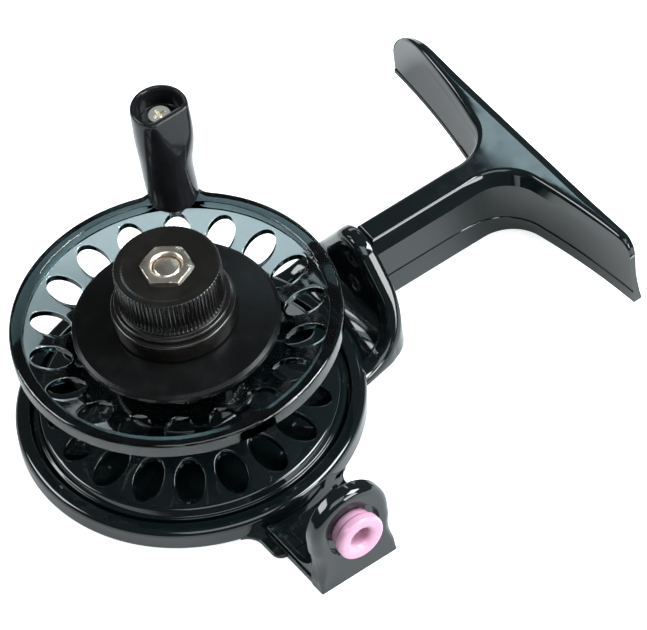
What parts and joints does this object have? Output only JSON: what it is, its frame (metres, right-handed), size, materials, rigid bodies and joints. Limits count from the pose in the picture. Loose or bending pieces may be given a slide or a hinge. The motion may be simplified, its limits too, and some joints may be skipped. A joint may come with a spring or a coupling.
{
  "type": "ice fishing reel",
  "caption": "Open-spool ice fishing reel in smoke plastic, with a perforated spool, an upright crank knob, a screw drag, a ceramic line guide and a T-shaped rod foot.",
  "frame": {"origin": "on the spool axis, at the body's flat back", "axes": "+X from the spool axis to the rod foot, -Y to the line guide, +Z along the spool axis to the drag knob"},
  "size_m": [0.1267, 0.1088, 0.059],
  "materials": {
    "smoke_plastic": "clear smoke-grey moulding, glossy",
    "black_plastic": "black moulding, glossy",
    "black_disc": "black, semi-matte",
    "pink_ceramic": "polished",
    "steel": "bright zinc",
    "nickel": "nickel plated",
    "black_steel": "black oxide",
    "spring_steel": "tempered",
    "bronze": "sintered, oiled",
    "nylon": "natural",
    "felt": "pressed felt"
  },
  "bodies": {
    "frame": {"body": "smoke_plastic", "leg": "smoke_plastic", "leg_screws": "black_steel", "guide_bracket": "smoke_plastic", "guide_ring": "pink_ceramic", "axle_bolt": "steel", "axle_washer": "steel", "axle_nut": "steel", "thrust_washer": "nylon", "felt_washer": "felt", "pressure_disc": "black_disc"},
    "spool": {"spool_rear": "smoke_plastic", "spool_front": "smoke_plastic", "spool_screws": "steel", "bush_rear": "bronze", "bush_front": "bronze", "crank_screw": "nickel"},
    "crank": {"crank_knob": "black_plastic"},
    "drag": {"drag_washer": "steel", "disc_springs": "spring_steel"},
    "knob": {"drag_knob": "black_plastic", "knob_nut": "steel"}
  },
  "joints": [
    {"name": "spool_spin", "type": "hinge", "parent": "frame", "child": "spool", "pos_m": [0, 0, 0.0165], "axis": [0, 0, 1], "continuous": true},
    {"name": "crank_spin", "type": "hinge", "parent": "spool", "child": "crank", "pos_m": [0.01901, 0.02807, 0.045], "axis": [0, 0, 1], "continuous": true},
    {"name": "drag_lift", "type": "slide", "parent": "frame", "child": "drag", "axis": [0, 0, 1], "range_m": [0, 0.001]},
    {"name": "knob_turn", "type": "hinge", "parent": "drag", "child": "knob", "pos_m": [0, 0, 0.04], "axis": [0, 0, 1], "range_deg": [0, 360]}
  ],
  "couplings": [
    {"joint": "drag_lift", "follows": "knob_turn", "m_per_rad": 0.00015915}
  ]
}
